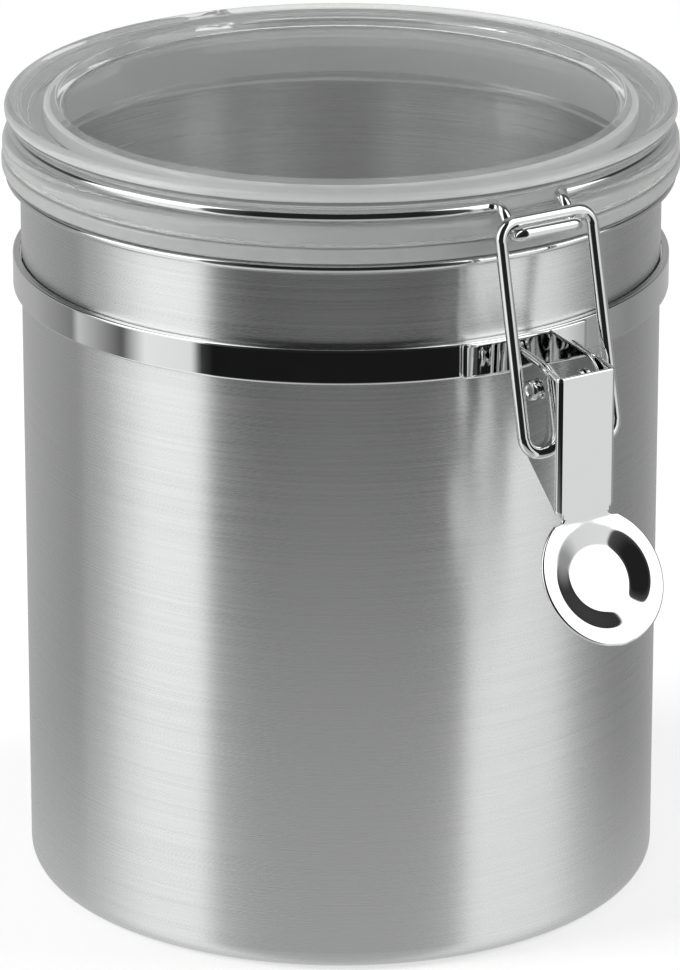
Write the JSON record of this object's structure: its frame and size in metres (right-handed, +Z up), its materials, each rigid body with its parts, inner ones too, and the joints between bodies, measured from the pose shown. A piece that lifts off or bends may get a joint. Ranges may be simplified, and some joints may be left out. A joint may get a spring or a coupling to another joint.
{
  "type": "storage canister",
  "caption": "Cylindrical stainless steel storage canister with a clear hinged lid, a sealing gasket and an over-centre wire clamp that presses the lid shut.",
  "frame": {"origin": "centre of the base's underside, on the axis of the can", "axes": "+Z up along the can's axis, -Y towards the clamp at the front, +Y towards the lid's hinge"},
  "size_m": [0.1342, 0.1766, 0.161],
  "materials": {
    "body_steel": "fine horizontal brushing",
    "bright_steel": "polished",
    "clear_lid": "clear, polished",
    "gasket": "translucent silicone, satin"
  },
  "bodies": {
    "can": {"body_shell": "body_steel", "neck_band": "bright_steel", "latch_bracket": "bright_steel", "latch_rivet_left": "bright_steel", "latch_rivet_right": "bright_steel", "hinge_bracket": "bright_steel"},
    "lid_assembly": {"lid": "clear_lid", "lid_gasket": "gasket", "lid_wire": "bright_steel"},
    "lever": {"latch_lever": "bright_steel"},
    "bail": {"bail_wire": "bright_steel"}
  },
  "joints": [
    {"name": "lid_hinge", "type": "hinge", "parent": "can", "child": "lid_assembly", "pos_m": [0, 0.0751, 0.15185], "axis": [-1, 0, 0], "range_deg": [0, 110]},
    {"name": "lever_pivot", "type": "hinge", "parent": "can", "child": "lever", "pos_m": [0, -0.0771, 0.1229], "axis": [-1, 0, 0], "range_deg": [0, 85]},
    {"name": "bail_swing", "type": "hinge", "parent": "lever", "child": "bail", "pos_m": [0, -0.0803, 0.1113], "axis": [-1, 0, 0], "range_deg": [-76.5, 0]}
  ],
  "couplings": [
    {"joint": "bail_swing", "follows": "lever_pivot", "ratio": -0.9}
  ]
}
